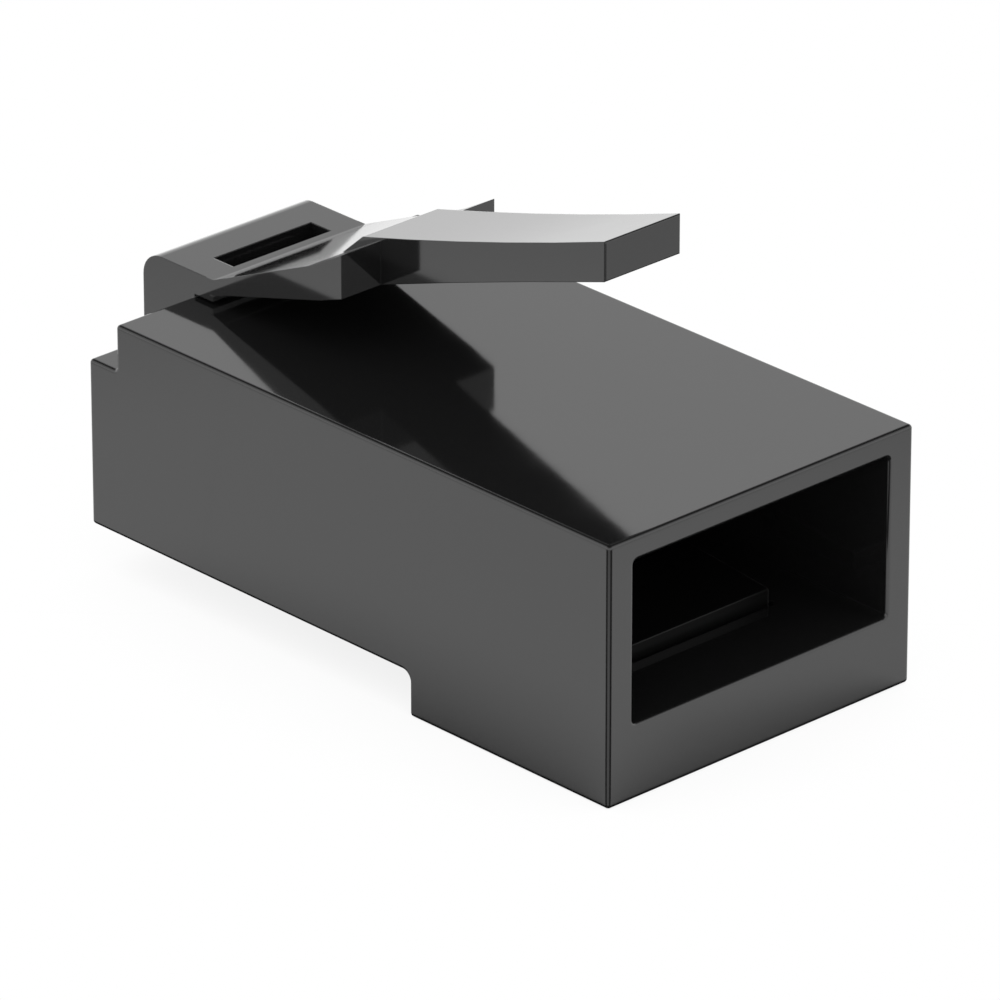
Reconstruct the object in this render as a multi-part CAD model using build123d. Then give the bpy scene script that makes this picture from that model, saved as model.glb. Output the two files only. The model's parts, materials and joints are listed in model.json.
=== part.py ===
from build123d import *
import os
from math import cos, radians, sin, tan

# Eight position modular plug, not yet crimped, with its latch on top.
# X runs to the cable end, Y across the plug and Z up towards the latch. Sizes are in mm.
# The origin lies under the middle of the plug, on the surface that it rests on.

# Housing, outside
body_length = 21.61
body_width = 11.78
body_height = 8.03
rear_length = 8.07
step_height = 1.35
step_radius = 0.30
ledge_depth = 1.20
ledge_drop = 1.45
edge_radius = 0.12

# Latch root block on the nose, with its rise above the top of the housing
root_overhang = 0.92
root_length = 3.035
root_rise = 0.80
root_nose_radius = 0.75
root_relief = 0.10
pocket_length = 0.88
pocket_width = 3.78
pocket_depth = 1.50
pocket_rear_wall = 0.29

# Cable cavity and the funnel in front of it
side_wall = 0.94
roof_wall = 0.72
mouth_floor = 2.32
mouth_lip_radius = 0.10
cavity_radius = 0.15
funnel_length = 2.60
funnel_lip = 0.05

# Conductor channels and contact slots
positions = 8
pitch = 1.02
channel_diameter = 1.08
channel_height = 4.32
nose_wall = 0.60
slot_clearance = 0.03
slot_end_gap = 0.10
slot_window_height = 1.60

# Contacts
contact_thickness = 0.35
contact_length = 4.50
contact_setback = 0.48
contact_proud = 0.40
contact_blade_height = 1.55
contact_front_radius = 0.55
contact_rear_radius = 0.30
tine_count = 3
tine_width = 0.62
tine_height = 1.12
tine_tip = 0.08

# Jacket clamp bar
jacket_bar_width = 6.46
jacket_bar_length = 3.30
jacket_bar_setback = 3.00
jacket_bar_rise = 0.44
jacket_tooth_rise = 0.76
jacket_bar_recess = 0.35
jacket_front_lean = 0.62
jacket_heel = 0.55
jacket_knuckle_radius = 0.35
jacket_pivot_drop = 0.48
jacket_pivot_inset = 0.17
jacket_edge_radius = 0.04

# Conductor clamp bar, and the walls that part it from the slots and the funnel
conductor_bar_length = 2.10
conductor_front_wall = 0.86
conductor_rear_wall = 0.07
conductor_bar_recess = 0.50
conductor_front_lean = 0.40
conductor_heel = 0.35
conductor_knuckle_radius = 0.24

# Clearances shared by the clamp bars and the hinges
bar_clearance = 0.12
knuckle_clearance = 0.03

# Latch: distances run from the nose, rises from the top of the housing
latch_width = 5.92
web_thickness = 0.45
web_drop = 0.02
arm_slope = 23.2
arm_under_slope = 16.0
under_kink_distance = 6.68
shoulder_foot_distance = 6.33
shoulder_foot_radius = 3.0
shoulder_distance = 7.60
shoulder_top_rise = 3.32
shoulder_under_rise = 1.96
ramp_foot_distance = 6.00
crest_distance = 6.84
crest_rise = 3.207
tab_width = 2.90
tab_distance = 16.77
tab_end_top_rise = 6.205
tab_end_under_rise = 4.985
tab_top_sag = 0.09
tab_under_bow = 0.04
tab_edge_radius = 0.05

# Places that follow from the sizes
rear_x = (body_length + root_overhang) / 2
nose_x = rear_x - body_length
ledge_x = nose_x + ledge_depth
ledge_height = body_height - ledge_drop
step_x = rear_x - rear_length
root_front_x = nose_x - root_overhang
root_rear_x = root_front_x + root_length
root_top = body_height + root_rise
cavity_width = body_width - 2 * side_wall
cavity_top = body_height - roof_wall
channel_front_x = nose_x + nose_wall
channel_bottom = channel_height - channel_diameter / 2
comb_width = (positions - 1) * pitch + channel_diameter
contact_front_x = nose_x + contact_setback
contact_rear_x = contact_front_x + contact_length
contact_bottom = step_height - contact_proud
slot_rear_x = contact_rear_x + slot_end_gap
jacket_rear_x = rear_x - jacket_bar_setback
jacket_front_x = jacket_rear_x - jacket_bar_length
jacket_pivot = (jacket_rear_x - jacket_pivot_inset, mouth_floor - jacket_pivot_drop)
conductor_front_x = slot_rear_x + conductor_front_wall + bar_clearance
conductor_rear_x = conductor_front_x + conductor_bar_length
conductor_top = channel_bottom - bar_clearance
conductor_bar_width = comb_width - 2 * bar_clearance
conductor_pivot = (
    conductor_rear_x - conductor_knuckle_radius,
    conductor_top - conductor_knuckle_radius,
)
funnel_front_x = conductor_rear_x + knuckle_clearance + conductor_rear_wall
cavity_front_x = funnel_front_x + funnel_length
latch_pivot = (root_rear_x, root_top - web_drop - web_thickness / 2)
shoulder_top = (nose_x + shoulder_distance, body_height + shoulder_top_rise)
shoulder_under = (nose_x + shoulder_distance, body_height + shoulder_under_rise)
# A cutter runs this far past the faces that it opens.
overrun = 1.0


def extrude_across(outline, width, centre_y=0.0):
    """Extrude a closed outline, drawn in X and Z, across the plug."""
    face = Plane.XZ * make_face(outline)
    return Pos(0, centre_y, 0) * extrude(face, width / 2, both=True)


def bore_section(x, centre_z, width, height):
    """The outline of a cavity with rounded corners, square to the length of the plug."""
    plane = Plane((x, 0, centre_z), x_dir=(0, 1, 0), z_dir=(1, 0, 0))
    return plane * RectangleRounded(width, height, cavity_radius)


def around(centre, radius, angle):
    """A point on a circle in X and Z, with the angle counted from +X towards +Z."""
    return (centre[0] + radius * cos(radians(angle)), centre[1] + radius * sin(radians(angle)))


def make_shell():
    """The outside of the housing: stepped bar, ledge at the nose and latch root block."""
    side_view = Polyline(
        (rear_x, 0),
        (step_x, 0),
        (step_x, step_height),
        (nose_x, step_height),
        (nose_x, ledge_height),
        (ledge_x, ledge_height),
        (ledge_x, body_height),
        (rear_x, body_height),
        close=True,
    )
    bar = extrude_across(side_view, body_width)
    step_corner = bar.edges().filter_by(Axis.Y).sort_by_distance((step_x, 0, step_height))[0]
    bar = fillet(step_corner, step_radius)
    sharp = [edge for edge in bar.edges() if edge.geom_type == GeomType.LINE]
    bar = fillet(ShapeList(sharp).filter_by(lambda edge: edge.length > 2 * edge_radius), edge_radius)

    root_view = Polyline(
        (root_front_x, ledge_height),
        (ledge_x + edge_radius, ledge_height),
        (ledge_x + edge_radius, body_height + root_relief),
        (root_rear_x, body_height + root_relief),
        (root_rear_x, root_top),
        (root_front_x, root_top),
        close=True,
    )
    root = extrude_across(root_view, latch_width)
    front_top = root.edges().filter_by(Axis.Y).sort_by_distance((root_front_x, 0, root_top))[0]
    root = fillet(front_top, root_nose_radius)
    front_bottom = root.edges().filter_by(Axis.Y).sort_by_distance((root_front_x, 0, ledge_height))[0]
    root = fillet(front_bottom, edge_radius)
    return bar + root


def cable_space():
    """The cavity for the cable, its funnel and the channels that part the conductors."""
    wide_end = bore_section(
        cavity_front_x, (cavity_top + mouth_floor) / 2, cavity_width, cavity_top - mouth_floor
    )
    narrow_end = bore_section(
        funnel_front_x,
        channel_height,
        comb_width + 2 * funnel_lip,
        channel_diameter + 2 * funnel_lip,
    )
    cavity = extrude(wide_end, rear_x - cavity_front_x + overrun)
    funnel = loft([wide_end, narrow_end])
    run = funnel_front_x + 2 * funnel_lip - channel_front_x
    channels = [
        Pos(channel_front_x + run / 2, y, channel_height)
        * Cylinder(channel_diameter / 2, run, rotation=(0, 90, 0))
        for y in contact_rows()
    ]
    return cavity + funnel + channels


def contact_rows():
    """The places of the positions across the plug."""
    return [(row - (positions - 1) / 2) * pitch for row in range(positions)]


def contact_slot(y):
    """A slot for one contact, open at the underside and low on the nose."""
    slot_front_x = contact_front_x - slot_end_gap
    window_top = step_height + slot_window_height
    side_view = Polyline(
        (nose_x - overrun, step_height - overrun),
        (nose_x - overrun, window_top),
        (slot_front_x, window_top),
        (slot_front_x, channel_height),
        (slot_rear_x, channel_height),
        (slot_rear_x, step_height - overrun),
        close=True,
    )
    return extrude_across(side_view, contact_thickness + 2 * slot_clearance, y)


def clamp_window(pivot, knuckle, front_x, bottom, top, width):
    """The window round a clamp bar, with the seat of its knuckle in the rear wall."""
    seat = knuckle + knuckle_clearance
    side_view = (
        Polyline(
            (pivot[0], pivot[1] - seat),
            (pivot[0], bottom),
            (front_x - bar_clearance, bottom),
            (front_x - bar_clearance, top),
            (pivot[0] + seat, top),
            (pivot[0] + seat, pivot[1]),
        )
        + ThreePointArc(around(pivot, seat, 0), around(pivot, seat, -45), around(pivot, seat, -90))
    )
    return extrude_across(side_view, width + 2 * bar_clearance)


def make_housing():
    """The moulded housing with everything that is cored out of it."""
    housing = make_shell() - cable_space()
    mouth_edges = housing.faces().sort_by(Axis.X)[-1].inner_wires()[0].edges()
    housing = fillet(mouth_edges, mouth_lip_radius)
    pocket = Pos(
        root_rear_x - pocket_rear_wall - pocket_length / 2, 0, root_top - pocket_depth / 2
    ) * Box(pocket_length, pocket_width, pocket_depth)
    groove = Pos(latch_pivot[0], 0, latch_pivot[1]) * Cylinder(
        web_thickness / 2 + knuckle_clearance, latch_width + overrun, rotation=(90, 0, 0)
    )
    jacket_window = clamp_window(
        jacket_pivot,
        jacket_knuckle_radius,
        jacket_front_x,
        -overrun,
        mouth_floor + overrun,
        jacket_bar_width,
    )
    conductor_window = clamp_window(
        conductor_pivot,
        conductor_knuckle_radius,
        conductor_front_x,
        step_height - overrun,
        channel_height,
        conductor_bar_width,
    )
    slots = [contact_slot(y) for y in contact_rows()]
    return housing - pocket - groove - jacket_window - conductor_window - slots


def make_jacket_bar():
    """The wedge that bites on the cable's jacket, with its knuckle at the rear."""
    radius = jacket_knuckle_radius
    # The knuckle's circle comes out of the flat rear of the bar at this height.
    knuckle_top = jacket_pivot[1] + (radius**2 - jacket_pivot_inset**2) ** 0.5
    side_view = (
        Polyline(
            (jacket_rear_x, knuckle_top),
            (jacket_rear_x, mouth_floor + jacket_bar_rise),
            (jacket_front_x, mouth_floor + jacket_tooth_rise),
            (jacket_front_x + jacket_front_lean, jacket_bar_recess),
            (jacket_pivot[0] - jacket_heel, jacket_bar_recess),
            around(jacket_pivot, radius, -90),
        )
        + ThreePointArc(
            around(jacket_pivot, radius, -90),
            around(jacket_pivot, radius, 0),
            (jacket_rear_x, knuckle_top),
        )
    )
    bar = extrude_across(side_view, jacket_bar_width)
    rear_top = bar.edges().filter_by(Axis.Y).sort_by_distance(
        (jacket_rear_x, 0, mouth_floor + jacket_bar_rise)
    )[0]
    return fillet(rear_top, jacket_edge_radius)


def make_conductor_bar():
    """The smaller bar that grips the eight conductors, with its knuckle at the rear."""
    radius = conductor_knuckle_radius
    bottom = step_height + conductor_bar_recess
    side_view = (
        Polyline(
            around(conductor_pivot, radius, 90),
            (conductor_front_x, conductor_top),
            (conductor_front_x + conductor_front_lean, bottom),
            (conductor_pivot[0] - conductor_heel, bottom),
            around(conductor_pivot, radius, -90),
        )
        + ThreePointArc(
            around(conductor_pivot, radius, -90),
            around(conductor_pivot, radius, 0),
            around(conductor_pivot, radius, 90),
        )
    )
    return extrude_across(side_view, conductor_bar_width)


def make_contact(y):
    """A stamped contact blade with a row of piercing tines."""
    blade_top = contact_bottom + contact_blade_height
    blade_place = Pos((contact_front_x + contact_rear_x) / 2, (contact_bottom + blade_top) / 2)
    blade = blade_place * Rectangle(contact_length, contact_blade_height)
    corners = blade.vertices().group_by(Axis.Y)[0].sort_by(Axis.X)
    blade = fillet(corners[0], contact_front_radius)
    corners = blade.vertices().group_by(Axis.Y)[0].sort_by(Axis.X)
    blade = fillet(corners[-1], contact_rear_radius)
    for tine in range(tine_count):
        centre = contact_front_x + contact_length * (tine + 0.5) / tine_count
        blade += make_face(
            Polyline(
                (centre - tine_width / 2, blade_top),
                (centre - tine_tip / 2, blade_top + tine_height),
                (centre + tine_tip / 2, blade_top + tine_height),
                (centre + tine_width / 2, blade_top),
                close=True,
            )
        )
    return Pos(0, y, 0) * extrude(Plane.XZ * blade, contact_thickness / 2, both=True)


def arm_line(slope, offset, x):
    """The height of the arm's top or underside, at a slope and an offset from the web's middle."""
    rise = tan(radians(slope)) * (x - latch_pivot[0])
    return latch_pivot[1] + offset / cos(radians(slope)) + rise


def make_arm():
    """The thin web at the root, the rising arm and the shoulders, all of one width."""
    half_web = web_thickness / 2
    foot_x = nose_x + shoulder_foot_distance
    kink_x = nose_x + under_kink_distance
    foot = (foot_x, arm_line(arm_slope, half_web, foot_x))
    kink = (kink_x, arm_line(arm_under_slope, -half_web, kink_x))
    web_top = around(latch_pivot, half_web, arm_slope + 90)
    web_under = around(latch_pivot, half_web, arm_under_slope - 90)
    outline = Polyline(web_top, foot, shoulder_top, shoulder_under, kink, web_under)
    outline += ThreePointArc(web_under, around(latch_pivot, half_web, 180), web_top)
    arm = extrude_across(outline, latch_width)
    foot_edge = arm.edges().filter_by(Axis.Y).sort_by_distance((foot[0], 0, foot[1]))[0]
    return fillet(foot_edge, shoulder_foot_radius)


def make_tab():
    """The narrow finger tab: a steep ramp up from the arm, then a long bowed blade."""
    ramp_foot_x = nose_x + ramp_foot_distance
    end_x = nose_x + tab_distance
    ramp_foot = (ramp_foot_x, arm_line(arm_slope, web_thickness / 2, ramp_foot_x))
    crest = (nose_x + crest_distance, body_height + crest_rise)
    end_top = (end_x, body_height + tab_end_top_rise)
    end_under = (end_x, body_height + tab_end_under_rise)
    top_middle = ((crest[0] + end_x) / 2, (crest[1] + end_top[1]) / 2 - tab_top_sag)
    under_middle = (
        (shoulder_under[0] + end_x) / 2,
        (shoulder_under[1] + end_under[1]) / 2 + tab_under_bow,
    )
    outline = (
        Line(ramp_foot, crest)
        + ThreePointArc(crest, top_middle, end_top)
        + Line(end_top, end_under)
        + ThreePointArc(end_under, under_middle, shoulder_under)
        + Line(shoulder_under, ramp_foot)
    )
    tab = extrude_across(outline, tab_width)
    end_face = tab.faces().sort_by(Axis.X)[-1]
    return fillet(end_face.edges(), tab_edge_radius)


pieces = {
    "housing": make_housing(),
    "latch": make_arm() + make_tab(),
    "jacket_clamp_bar": make_jacket_bar(),
    "conductor_clamp_bar": make_conductor_bar(),
}
for number, y in enumerate(contact_rows(), start=1):
    pieces[f"contact_{number}"] = make_contact(y)

os.makedirs("parts", exist_ok=True)
for name, piece in pieces.items():
    export_step(piece, f"parts/{name}.step")
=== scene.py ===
import json
import math

import bpy
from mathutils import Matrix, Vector


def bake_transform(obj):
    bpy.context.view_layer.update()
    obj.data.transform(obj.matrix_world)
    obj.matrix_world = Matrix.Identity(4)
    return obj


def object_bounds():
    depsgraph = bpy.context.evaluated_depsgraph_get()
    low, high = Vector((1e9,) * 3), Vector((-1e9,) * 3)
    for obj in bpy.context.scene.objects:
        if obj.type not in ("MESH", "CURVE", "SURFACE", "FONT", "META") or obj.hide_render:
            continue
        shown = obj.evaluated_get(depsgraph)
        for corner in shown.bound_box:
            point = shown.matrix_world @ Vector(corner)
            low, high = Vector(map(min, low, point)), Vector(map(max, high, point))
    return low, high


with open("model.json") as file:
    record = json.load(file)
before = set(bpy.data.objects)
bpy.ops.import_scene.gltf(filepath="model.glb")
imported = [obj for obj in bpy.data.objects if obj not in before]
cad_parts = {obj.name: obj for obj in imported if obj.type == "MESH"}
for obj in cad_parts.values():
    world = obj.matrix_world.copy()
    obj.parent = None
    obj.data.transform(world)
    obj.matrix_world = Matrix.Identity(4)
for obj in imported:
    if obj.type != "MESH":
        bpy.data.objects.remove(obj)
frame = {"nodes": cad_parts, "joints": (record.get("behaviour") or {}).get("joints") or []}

cad_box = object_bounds()


# Viewpoint: a long lens off the cable end of the plug, a little above it and to its
# left, so that the latch points towards the lens.
MM = 0.001
look_at = Vector((0.644, 0.0, 3.949)) * MM
camera_distance = 279.11 * MM
camera_azimuth = math.radians(46.81)
camera_elevation = math.radians(25.05)
toward_camera = Vector(
    (
        math.sin(camera_azimuth) * math.cos(camera_elevation),
        -math.cos(camera_azimuth) * math.cos(camera_elevation),
        math.sin(camera_elevation),
    )
)
lens = bpy.data.cameras.new("long_lens")
lens.lens = 352.9
lens.clip_start = 0.01
lens.clip_end = 20.0
camera = bpy.data.objects.new("camera", lens)
camera.location = look_at + toward_camera * camera_distance
camera.rotation_euler = (-toward_camera).to_track_quat("-Z", "Y").to_euler()
bpy.context.scene.collection.objects.link(camera)
bpy.context.scene.camera = camera
bpy.context.scene.view_settings.view_transform = "Standard"


# Studio: a white paper floor under an even white dome. In the gloss of the plastic the
# dome has a bright horizon and a dim ceiling, and the floor is painted dark close to the
# plug, in two painted sectors in place of black cards by its near upright edge, and where it is
# seen steeply.
def put(tree, kind, column, row, **settings):
    """A shader node at a place in the editor, with some of its settings."""
    made = tree.nodes.new(kind)
    made.location = (column * 200, row * -200)
    for setting, value in settings.items():
        setattr(made, setting, value)
    return made


def ease(tree, column, row, source, from_span, to_span):
    """A value that runs from one level to another while its source crosses a span."""
    made = put(tree, "ShaderNodeMapRange", column, row, interpolation_type="SMOOTHSTEP")
    tree.links.new(source, made.inputs["Value"])
    made.inputs["From Min"].default_value, made.inputs["From Max"].default_value = from_span
    made.inputs["To Min"].default_value, made.inputs["To Max"].default_value = to_span
    return made.outputs["Result"]


def combine(tree, column, row, operation, first, second):
    """Two values joined by one operation; the second may be a plain number."""
    made = put(tree, "ShaderNodeMath", column, row, operation=operation)
    tree.links.new(first, made.inputs[0])
    if isinstance(second, (int, float)):
        made.inputs[1].default_value = second
    else:
        tree.links.new(second, made.inputs[1])
    return made.outputs[0]


def steps(tree, column, row, source, stops):
    """Grey levels at stops along a value, with straight runs between them."""
    made = put(tree, "ShaderNodeValToRGB", column, row)
    tree.links.new(source, made.inputs["Fac"])
    elements = made.color_ramp.elements
    while len(elements) < len(stops):
        elements.new(0.5)
    for element, (place, level) in zip(elements, stops):
        element.position = place
        element.color = (level, level, level, 1.0)
    return made.outputs["Color"]


# The dome. Its spans are heights on a dome with a radius of 1.
horizon_level = 1.45
dome_level = 0.99
ceiling_level = 0.03
horizon_span = (0.02, 0.38)
ceiling_span = (0.52, 0.74)

dome = bpy.data.worlds.new("studio_dome")
bpy.context.scene.world = dome
dome.use_nodes = True
tree = dome.node_tree
tree.nodes.clear()
direction = put(tree, "ShaderNodeTexCoord", 0, 0)
height = put(tree, "ShaderNodeSeparateXYZ", 1, 0)
tree.links.new(direction.outputs["Generated"], height.inputs[0])
band = ease(tree, 2, 0, height.outputs["Z"], horizon_span, (horizon_level, dome_level))
roof = ease(tree, 2, 1.5, height.outputs["Z"], ceiling_span, (1.0, ceiling_level / dome_level))
mirrored = combine(tree, 3, 0, "MULTIPLY", band, roof)
ray = put(tree, "ShaderNodeLightPath", 4, 1)
level = put(tree, "ShaderNodeMix", 5, 0, data_type="FLOAT")
level.inputs["A"].default_value = 1.0
tree.links.new(ray.outputs["Is Glossy Ray"], level.inputs["Factor"])
tree.links.new(mirrored, level.inputs["B"])
sky = put(tree, "ShaderNodeBackground", 6, 0)
sky.inputs["Color"].default_value = (1.0, 1.0, 1.0, 1.0)
tree.links.new(level.outputs["Result"], sky.inputs["Strength"])
sky_output = put(tree, "ShaderNodeOutputWorld", 7, 0)
tree.links.new(sky.outputs[0], sky_output.inputs["Surface"])

# The paper, just under the plug
floor_reach = 6.0
floor_drop = 0.01 * MM
floor_corners = ((-1, -1), (1, -1), (1, 1), (-1, 1))
floor_mesh = bpy.data.meshes.new("paper_floor")
floor_mesh.from_pydata(
    [(x * floor_reach, y * floor_reach, 0.0) for x, y in floor_corners],
    [],
    [(0, 1, 2, 3)],
)
floor = bpy.data.objects.new("paper_floor", floor_mesh)
floor.location.z = -floor_drop
bpy.context.scene.collection.objects.link(floor)

paper = bpy.data.materials.new("white_paper")
paper.use_nodes = True
tree = paper.node_tree
tree.nodes.clear()

# Its shade near the plug: soft as the lens sees it, deep as the gloss mirrors it
shade_samples = 12
shelter_reach = 10 * MM
contact_reach = 0.4 * MM
seen_shade = ((0.0, 0.84), (0.5, 0.97), (0.75, 1.0))
near_shade = ((0.0, 0.0), (0.4, 0.05), (0.5, 0.46), (0.62, 0.72), (0.70, 0.87), (0.78, 1.0))
contact_shade = ((0.5, 0.02), (0.65, 0.2), (0.85, 1.0))
shelter = put(tree, "ShaderNodeAmbientOcclusion", 0, 0, samples=shade_samples)
shelter.inputs["Distance"].default_value = shelter_reach
contact = put(tree, "ShaderNodeAmbientOcclusion", 0, 1.2, samples=shade_samples)
contact.inputs["Distance"].default_value = contact_reach
seen_level = steps(tree, 1, 0, shelter.outputs["AO"], seen_shade)
near_level = steps(tree, 1, 1, shelter.outputs["AO"], near_shade)
contact_level = steps(tree, 1, 2, contact.outputs["AO"], contact_shade)
near_level = combine(tree, 2, 1, "MULTIPLY", near_level, contact_level)

# Its mirrored level further out: dimmer in front of the plug, brighter behind it
front_span = (20 * MM, 36 * MM)
front_levels = (1.0, 0.80)
away_from_camera = (-math.sin(camera_azimuth), math.cos(camera_azimuth), 0.0)
behind_span = (36 * MM, 60 * MM)
far_span = (70 * MM, 300 * MM)
far_levels = (1.75, 1.42)
place = put(tree, "ShaderNodeTexCoord", 0, 3)
radius = put(tree, "ShaderNodeVectorMath", 1, 3, operation="LENGTH")
tree.links.new(place.outputs["Object"], radius.inputs[0])
in_front = ease(tree, 2, 3, radius.outputs["Value"], front_span, front_levels)
away = put(tree, "ShaderNodeVectorMath", 1, 3.6, operation="DOT_PRODUCT")
tree.links.new(place.outputs["Object"], away.inputs[0])
away.inputs[1].default_value = away_from_camera
behind = ease(tree, 2, 3.6, away.outputs["Value"], behind_span, (0.0, 1.0))
far_level = ease(tree, 3, 3.6, radius.outputs["Value"], far_span, far_levels)
reach_level = put(tree, "ShaderNodeMix", 5, 3, data_type="FLOAT")
tree.links.new(behind, reach_level.inputs["Factor"])
tree.links.new(in_front, reach_level.inputs["A"])
tree.links.new(far_level, reach_level.inputs["B"])

# The two painted dark sectors, in place of black cards, fan out from the foot of the near
# upright edge. A place on the fan is a share of a full turn round that foot.
dark_sector_inset = 0.02 * MM
near_foot = (cad_box[1][0] - dark_sector_inset, cad_box[0][1] + dark_sector_inset, 0.0)
painted_dark_level = 0.02
between_sectors_level = 0.75
painted_dark_fan = (
    (0.135, 1.0),
    (0.155, painted_dark_level),
    (0.245, painted_dark_level),
    (0.29, between_sectors_level),
    (0.43, between_sectors_level),
    (0.47, painted_dark_level),
    (0.575, painted_dark_level),
    (0.60, 1.0),
)
dark_fan_end_span = (28 * MM, 36 * MM)
from_foot = put(tree, "ShaderNodeVectorMath", 1, 4, operation="SUBTRACT")
tree.links.new(place.outputs["Object"], from_foot.inputs[0])
from_foot.inputs[1].default_value = near_foot
turn = put(tree, "ShaderNodeTexGradient", 2, 4, gradient_type="RADIAL")
tree.links.new(from_foot.outputs["Vector"], turn.inputs["Vector"])
# Painted dark sectors in the paper's glow for the gloss: a painted reflection of black cards.
painted_dark_sectors = steps(tree, 3, 4, turn.outputs["Fac"], painted_dark_fan)
foot_distance = put(tree, "ShaderNodeVectorMath", 2, 5, operation="LENGTH")
tree.links.new(from_foot.outputs["Vector"], foot_distance.inputs[0])
dark_fan_end = ease(tree, 3, 5, foot_distance.outputs["Value"], dark_fan_end_span, (0.0, 1.0))
painted_dark_sectors = combine(tree, 4, 4, "MAXIMUM", painted_dark_sectors, dark_fan_end)

# The gloss mirrors no paper that its rays meet steeply.
slant_span = (0.43, 0.53)
mirrored = combine(tree, 6, 2, "MULTIPLY", near_level, reach_level.outputs["Result"])
mirrored = combine(tree, 7, 2, "MULTIPLY", mirrored, painted_dark_sectors)
slant = put(tree, "ShaderNodeLayerWeight", 5, 5)
shallow = ease(tree, 6, 5, slant.outputs["Facing"], slant_span, (0.0, 1.0))
mirrored = combine(tree, 8, 2, "MULTIPLY", mirrored, shallow)

# The paper glows for the lens and for the gloss, and is matt white to all other light.
matt_white = (0.85, 0.85, 0.85, 1.0)
ray = put(tree, "ShaderNodeLightPath", 4, 0)
level = put(tree, "ShaderNodeMix", 6, 1, data_type="FLOAT")
tree.links.new(ray.outputs["Is Glossy Ray"], level.inputs["Factor"])
tree.links.new(seen_level, level.inputs["A"])
tree.links.new(mirrored, level.inputs["B"])
glow = put(tree, "ShaderNodeEmission", 7, 1)
tree.links.new(level.outputs["Result"], glow.inputs["Strength"])
matt = put(tree, "ShaderNodeBsdfDiffuse", 7, 2)
matt.inputs["Color"].default_value = matt_white
shown = combine(tree, 6, 0, "MAXIMUM", ray.outputs["Is Camera Ray"], ray.outputs["Is Glossy Ray"])
shown = combine(tree, 7, 0, "MAXIMUM", shown, ray.outputs["Is Transmission Ray"])
surface = put(tree, "ShaderNodeMixShader", 8, 1)
tree.links.new(shown, surface.inputs["Fac"])
tree.links.new(matt.outputs[0], surface.inputs[1])
tree.links.new(glow.outputs[0], surface.inputs[2])
paper_output = put(tree, "ShaderNodeOutputMaterial", 9, 1)
tree.links.new(surface.outputs[0], paper_output.inputs["Surface"])
floor_mesh.materials.append(paper)


# Housing: one hard polycarbonate moulding in gloss black, with the body, the cable mouth,
# the contact comb and the block that carries the latch. The polished mould leaves a faint
# ripple, slow changes of gloss and softly rounded edges.
def open_group(name, inputs, outputs):
    """An empty node group with named sockets, given as (name, kind, start value)."""
    group = bpy.data.node_groups.new(name, "ShaderNodeTree")
    for socket, kind, start in inputs:
        made = group.interface.new_socket(socket, in_out="INPUT", socket_type=kind)
        made.default_value = start
    for socket, kind in outputs:
        group.interface.new_socket(socket, in_out="OUTPUT", socket_type=kind)
    return group, put(group, "NodeGroupInput", -1, 0), put(group, "NodeGroupOutput", 9, 0)


def cloud(tree, column, row, place, scale, detail):
    """Soft noise over the surface, with its scale in bumps per metre."""
    made = put(tree, "ShaderNodeTexNoise", column, row)
    tree.links.new(place, made.inputs["Vector"])
    made.inputs["Scale"].default_value = scale
    made.inputs["Detail"].default_value = detail
    return made.outputs["Fac"]


def tint(tree, column, row, factor, first, second):
    """A colour mixed from two, each a socket or a colour."""
    made = put(tree, "ShaderNodeMix", column, row, data_type="RGBA")
    tree.links.new(factor, made.inputs["Factor"])
    for socket, colour in (("A", first), ("B", second)):
        entry = next(item for item in made.inputs if item.name == socket and item.type == "RGBA")
        if isinstance(colour, tuple):
            entry.default_value = colour
        else:
            tree.links.new(colour, entry)
    return next(item for item in made.outputs if item.type == "RGBA")


# The skin of the moulding: handled patches change its gloss, and its edges wear. Where a piece sets
# a pale worn colour, its lighter edges are a painted highlight.
moulded_skin, given, result = open_group(
    "moulded_skin",
    [
        ("Body Colour", "NodeSocketColor", (0.0098, 0.0098, 0.0099, 1.0)),
        ("Worn Colour", "NodeSocketColor", (0.017, 0.017, 0.0175, 1.0)),
        ("Gloss", "NodeSocketFloat", 0.07),
        ("Gloss Change", "NodeSocketFloat", 0.02),
        ("Edge Round", "NodeSocketFloat", 0.055 * MM),
    ],
    [
        ("Colour", "NodeSocketColor"),
        ("Roughness", "NodeSocketFloat"),
        ("Ripple", "NodeSocketFloat"),
        ("Rounded Normal", "NodeSocketVector"),
    ],
)
edge_samples = 6
edge_lean_span = (0.995, 0.80)
patch_scale = 420
patch_span = (0.35, 0.7)
grain_scale = 9000
wave_scale = 900
grain_share = 0.08
wear_and_highlight_share = 0.6
edge_dulling_share = 0.10
place = put(moulded_skin, "ShaderNodeTexCoord", 0, 0).outputs["Object"]
shape = put(moulded_skin, "ShaderNodeNewGeometry", 0, 3)
rounded = put(moulded_skin, "ShaderNodeBevel", 1, 3, samples=edge_samples)
moulded_skin.links.new(given.outputs["Edge Round"], rounded.inputs["Radius"])
lean = put(moulded_skin, "ShaderNodeVectorMath", 2, 3, operation="DOT_PRODUCT")
moulded_skin.links.new(rounded.outputs["Normal"], lean.inputs[0])
moulded_skin.links.new(shape.outputs["Normal"], lean.inputs[1])
edge = ease(moulded_skin, 3, 3, lean.outputs["Value"], edge_lean_span, (0.0, 1.0))
patches = cloud(moulded_skin, 1, 0, place, patch_scale, 3.0)
handled = ease(moulded_skin, 2, 0, patches, patch_span, (0.0, 1.0))
grain = cloud(moulded_skin, 1, 1, place, grain_scale, 3.0)
edge_wear_and_highlight_mask = combine(moulded_skin, 4, 2, "MULTIPLY", edge, handled)
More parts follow.
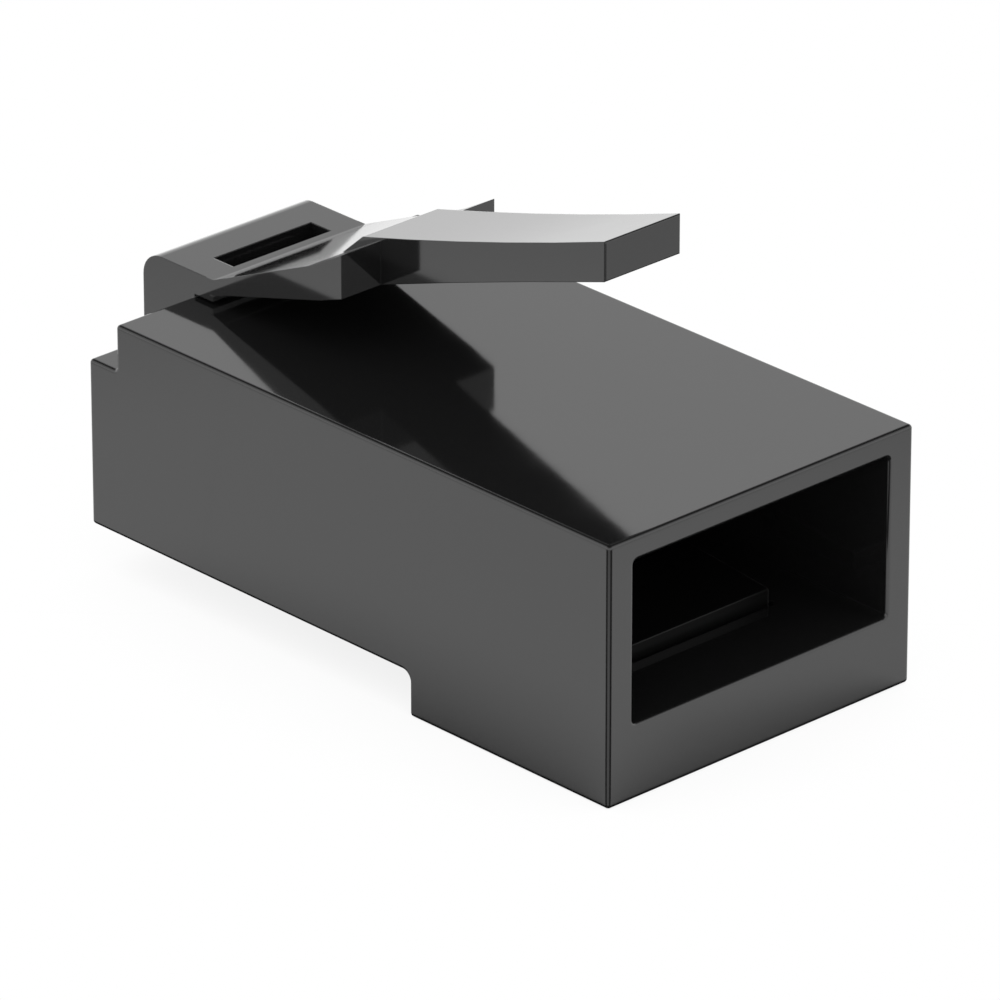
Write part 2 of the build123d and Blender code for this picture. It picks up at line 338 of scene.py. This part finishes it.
# Light edge wear on the housing and latch; on the clamp bars the pale colour here is a painted
# highlight along the edges.
wear_and_highlight = combine(moulded_skin, 5, 2, "MULTIPLY", edge_wear_and_highlight_mask, wear_and_highlight_share)
colour = tint(moulded_skin, 6, 0, wear_and_highlight, given.outputs["Body Colour"], given.outputs["Worn Colour"])
gloss_change = combine(moulded_skin, 4, 1, "MULTIPLY", handled, given.outputs["Gloss Change"])
roughness = combine(moulded_skin, 5, 1, "ADD", gloss_change, given.outputs["Gloss"])
edge_dulling = combine(moulded_skin, 6, 2, "MULTIPLY", wear_and_highlight, edge_dulling_share)
roughness = combine(moulded_skin, 7, 1, "ADD", roughness, edge_dulling)
wave = cloud(moulded_skin, 1, 2, place, wave_scale, 1.0)
fine = combine(moulded_skin, 2, 1, "MULTIPLY", grain, grain_share)
ripple = combine(moulded_skin, 3, 1, "ADD", wave, fine)
moulded_skin.links.new(colour, result.inputs["Colour"])
moulded_skin.links.new(roughness, result.inputs["Roughness"])
moulded_skin.links.new(ripple, result.inputs["Ripple"])
moulded_skin.links.new(rounded.outputs["Normal"], result.inputs["Rounded Normal"])


def black_plastic(name, ripple_height, index, rounded_edges=True, **values):
    """Black moulded polycarbonate, with its own values for the skin."""
    material = bpy.data.materials.new(name)
    material.use_nodes = True
    tree = material.node_tree
    shader = tree.nodes["Principled BSDF"]
    skin = put(tree, "ShaderNodeGroup", -3, 0, node_tree=moulded_skin)
    for socket, value in values.items():
        skin.inputs[socket.replace("_", " ")].default_value = value
    relief = put(tree, "ShaderNodeBump", -1, 2)
    relief.inputs["Strength"].default_value = 1.0
    relief.inputs["Distance"].default_value = ripple_height
    tree.links.new(skin.outputs["Ripple"], relief.inputs["Height"])
    if rounded_edges:
        tree.links.new(skin.outputs["Rounded Normal"], relief.inputs["Normal"])
    tree.links.new(skin.outputs["Colour"], shader.inputs["Base Color"])
    tree.links.new(skin.outputs["Roughness"], shader.inputs["Roughness"])
    tree.links.new(relief.outputs["Normal"], shader.inputs["Normal"])
    shader.inputs["IOR"].default_value = index
    return material


def dress(piece, material):
    """Give a piece one finish all over."""
    piece.data.materials.clear()
    piece.data.materials.append(material)


nodes = frame["nodes"]
housing_ripple = 0.0009 * MM
gloss_index = 1.7
housing_finish = black_plastic("gloss_black_housing", housing_ripple, gloss_index)
dress(nodes["housing"], housing_finish)


# Latch: the same polycarbonate, moulded in one with the housing. It bends at a thin web
# behind the root block, so the web here runs unbroken from the block into the arm.
latch_ripple = 0.0006 * MM
latch_finish = black_plastic("gloss_black_latch", latch_ripple, gloss_index, Edge_Round=0.03 * MM)
web_finish = black_plastic("gloss_black_web", latch_ripple, gloss_index, rounded_edges=False)
dress(nodes["latch"], latch_finish)

# The web's sizes are in mm from the hinge's line. It thickens with the arm past that line.
pivot = Vector(next(joint["pos_m"] for joint in frame["joints"] if joint["name"] == "latch_flex"))
web_steps = 12
web_half_width = 2.9605
web_half_height = 0.2462
web_behind = -0.305
web_past = 0.435
arm_rise = math.tan(math.radians(23.2))
arm_under_rise = math.tan(math.radians(16.0))
ring_corners = 4
rings = []
for step in range(web_steps + 1):
    past = web_behind + (web_past - web_behind) * step / web_steps
    top = web_half_height + arm_rise * max(0.0, past)
    under = -web_half_height + arm_under_rise * max(0.0, past)
    rings.append(
        [
            pivot + Vector((past, y, z)) * MM
            for y, z in (
                (-web_half_width, under),
                (web_half_width, under),
                (web_half_width, top),
                (-web_half_width, top),
            )
        ]
    )
corners = [corner for ring in rings for corner in ring]
faces = [(3, 2, 1, 0)]
for step in range(web_steps):
    first = step * ring_corners
    second = first + ring_corners
    for side in range(ring_corners):
        following = (side + 1) % ring_corners
        faces.append((first + side, first + following, second + following, second + side))
last = web_steps * ring_corners
faces.append((last, last + 1, last + 2, last + 3))
web_mesh = bpy.data.meshes.new("latch_web")
web_mesh.from_pydata(corners, [], faces)
web_mesh.validate()
web = bpy.data.objects.new("latch_web", web_mesh)
bpy.context.scene.collection.objects.link(web)
dress(web, web_finish)
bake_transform(web)


# Clamp bars: two wedges of the same plastic that hang on thin necks in the underside of
# the housing, and are pressed up on the cable's jacket and on its conductors. They are
# less polished than the outside. Their pale edge colour is a painted highlight, and their
# darker body colour is painted shade for their place deep in the mouth.
bar_finish = black_plastic(
    "satin_black_bar",
    ripple_height=0.0012 * MM,
    index=1.3,
    Gloss=0.30,
    # Darker than the housing's own colour: painted shade inside the mouth.
    Body_Colour=(0.0045, 0.0045, 0.0045, 1.0),
    # Pale edge colour: a painted highlight along the bar's edges.
    Worn_Colour=(0.80, 0.80, 0.80, 1.0),
    Edge_Round=0.03 * MM,
)
for bar in ("jacket_clamp_bar", "conductor_clamp_bar"):
    dress(nodes[bar], bar_finish)


# Contacts: eight blades stamped from phosphor bronze strip and nickel plated, with gold
# on the nose and the lower edge that meet the jack. Rolling lines run along the strip.
stamped_strip, given, result = open_group(
    "stamped_strip",
    [
        ("Plated Below", "NodeSocketFloat", 2.1 * MM),
        ("Gold", "NodeSocketColor", (0.86, 0.60, 0.22, 1.0)),
        ("Nickel", "NodeSocketColor", (0.62, 0.58, 0.52, 1.0)),
    ],
    [("Colour", "NodeSocketColor"), ("Roughness", "NodeSocketFloat"), ("Lines", "NodeSocketFloat")],
)
line_stretch = (0.06, 1.0, 1.0)
line_scale = 26000
line_span = (0.3, 0.7)
strip_roughness = (0.18, 0.34)
spot_scale = 2600
spot_span = (0.4, 0.75)
spot_strength = (0.0, 0.35)
spot_colour = (0.40, 0.29, 0.14, 1.0)
plating_wander = 0.25 * MM
plating_edge_span = (-0.04 * MM, 0.04 * MM)
place = put(stamped_strip, "ShaderNodeTexCoord", 0, 0).outputs["Object"]
stretched = put(stamped_strip, "ShaderNodeMapping", 1, 0)
stretched.inputs["Scale"].default_value = line_stretch
stamped_strip.links.new(place, stretched.inputs["Vector"])
lines = cloud(stamped_strip, 2, 0, stretched.outputs["Vector"], line_scale, 2.0)
spots = cloud(stamped_strip, 2, 1, place, spot_scale, 3.0)
parts = put(stamped_strip, "ShaderNodeSeparateXYZ", 1, 2)
stamped_strip.links.new(place, parts.inputs[0])
wander = combine(stamped_strip, 2, 2, "MULTIPLY", spots, plating_wander)
level = combine(stamped_strip, 3, 2, "SUBTRACT", parts.outputs["Z"], wander)
level = combine(stamped_strip, 4, 2, "SUBTRACT", level, given.outputs["Plated Below"])
bare = ease(stamped_strip, 5, 2, level, plating_edge_span, (0.0, 1.0))
plated = tint(stamped_strip, 6, 0, bare, given.outputs["Gold"], given.outputs["Nickel"])
dull = ease(stamped_strip, 3, 1, spots, spot_span, spot_strength)
colour = tint(stamped_strip, 7, 0, dull, plated, spot_colour)
roughness = ease(stamped_strip, 3, 0, lines, line_span, strip_roughness)
stamped_strip.links.new(colour, result.inputs["Colour"])
stamped_strip.links.new(roughness, result.inputs["Roughness"])
stamped_strip.links.new(lines, result.inputs["Lines"])

line_depth = 0.0006 * MM
contact_count = 8
contact_finish = bpy.data.materials.new("gold_plated_contact")
contact_finish.use_nodes = True
tree = contact_finish.node_tree
shader = tree.nodes["Principled BSDF"]
strip = put(tree, "ShaderNodeGroup", -3, 0, node_tree=stamped_strip)
relief = put(tree, "ShaderNodeBump", -1, 2)
relief.inputs["Strength"].default_value = 1.0
relief.inputs["Distance"].default_value = line_depth
tree.links.new(strip.outputs["Lines"], relief.inputs["Height"])
tree.links.new(strip.outputs["Colour"], shader.inputs["Base Color"])
tree.links.new(strip.outputs["Roughness"], shader.inputs["Roughness"])
tree.links.new(relief.outputs["Normal"], shader.inputs["Normal"])
shader.inputs["Metallic"].default_value = 1.0
for number in range(1, contact_count + 1):
    dress(nodes[f"contact_{number}"], contact_finish)
